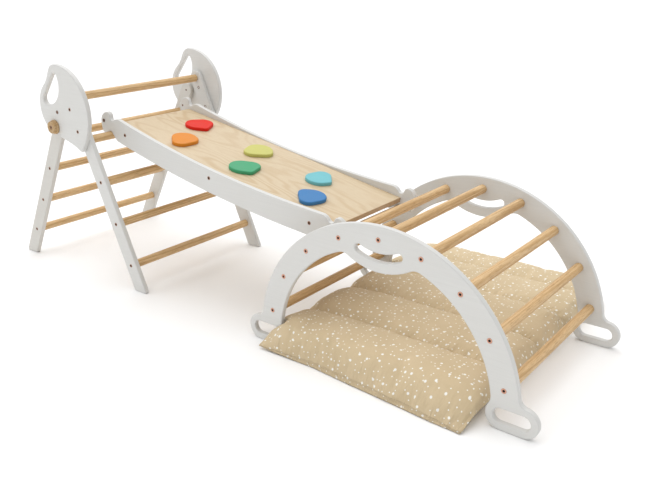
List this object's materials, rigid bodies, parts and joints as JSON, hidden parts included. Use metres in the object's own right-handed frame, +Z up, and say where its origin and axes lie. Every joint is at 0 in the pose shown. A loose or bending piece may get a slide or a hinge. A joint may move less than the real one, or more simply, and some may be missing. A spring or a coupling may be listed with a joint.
{
  "type": "toddler climbing set",
  "caption": "Folding climbing triangle, ramp with stepping stones hooked over a rung, rung arch with foot loops and a channelled floor cushion under it",
  "frame": {"origin": "bottom centre of the set's bounding box, on the floor", "axes": "+Z up; +X from the triangle to the arch, the longest way; -Y is the near side of the picture"},
  "size_m": [2.2834, 1.0488, 0.8057],
  "materials": {
    "white_lacquer": "satin white lacquer on plywood",
    "beech_rung": "clear-oiled round timber",
    "birch_board": "clear-lacquered birch plywood",
    "bolt_steel": "bronzed bolt head",
    "cushion_cloth": "cotton with small pale dots",
    "stone_red": "satin red paint",
    "stone_orange": "satin orange paint",
    "stone_lime": "satin lime green paint",
    "stone_green": "satin green paint",
    "stone_sky": "satin light blue paint",
    "stone_blue": "satin blue paint"
  },
  "bodies": {
    "main_frame": {"arch_plate_near": "white_lacquer", "arch_plate_far": "white_lacquer", "arch_rung_1": "beech_rung", "arch_rung_2": "beech_rung", "arch_rung_3": "beech_rung", "arch_rung_4": "beech_rung", "arch_rung_5": "beech_rung", "arch_rung_6": "beech_rung", "arch_rung_7": "beech_rung", "arch_rung_8": "beech_rung", "arch_rung_9": "beech_rung", "front_leg_near": "white_lacquer", "front_leg_far": "white_lacquer", "front_rung_1": "beech_rung", "front_rung_2": "beech_rung", "front_rung_3": "beech_rung", "front_rung_4": "beech_rung", "front_rung_5": "beech_rung", "side_disc_near": "white_lacquer", "side_disc_far": "white_lacquer", "pivot_bolt_near": "bolt_steel", "pivot_bolt_far": "bolt_steel"},
    "rear_frame": {"rear_leg_near": "white_lacquer", "rear_leg_far": "white_lacquer", "rear_rung_1": "beech_rung", "rear_rung_2": "beech_rung", "rear_rung_3": "beech_rung", "rear_rung_4": "beech_rung"},
    "ramp": {"ramp_rail_near": "white_lacquer", "ramp_rail_far": "white_lacquer", "ramp_board": "birch_board", "ramp_batten_1": "beech_rung", "ramp_batten_2": "beech_rung", "ramp_batten_3": "beech_rung", "ramp_latch_bolt_near": "bolt_steel", "ramp_latch_bolt_far": "bolt_steel", "stone_red": "stone_red", "stone_orange": "stone_orange", "stone_lime": "stone_lime", "stone_green": "stone_green", "stone_sky": "stone_sky", "stone_blue": "stone_blue"},
    "lock_knob_near": {"lock_knob_near": "beech_rung"},
    "lock_knob_far": {"lock_knob_far": "beech_rung"},
    "cushion": {"cushion": "cushion_cloth"}
  },
  "joints": [
    {"name": "rear_frame_fold", "type": "hinge", "parent": "main_frame", "child": "rear_frame", "pos_m": [-0.76349, -0.1275, 0.63205], "axis": [0, -1, 0], "range_deg": [0, 48]},
    {"name": "ramp_lift", "type": "hinge", "parent": "main_frame", "child": "ramp", "pos_m": [-0.63625, -0.1275, 0.54006], "axis": [0, -1, 0], "range_deg": [0, 25]},
    {"name": "lock_knob_near_turn", "type": "hinge", "parent": "main_frame", "child": "lock_knob_near", "pos_m": [-0.78699, -0.4675, 0.57525], "axis": [0, -1, 0], "continuous": true},
    {"name": "lock_knob_far_turn", "type": "hinge", "parent": "main_frame", "child": "lock_knob_far", "pos_m": [-0.78699, 0.2125, 0.57525], "axis": [0, 1, 0], "continuous": true},
    {"name": "cushion_lift", "type": "slide", "parent": "main_frame", "child": "cushion", "axis": [0, 0, 1], "range_m": [0, 0.025]}
  ]
}
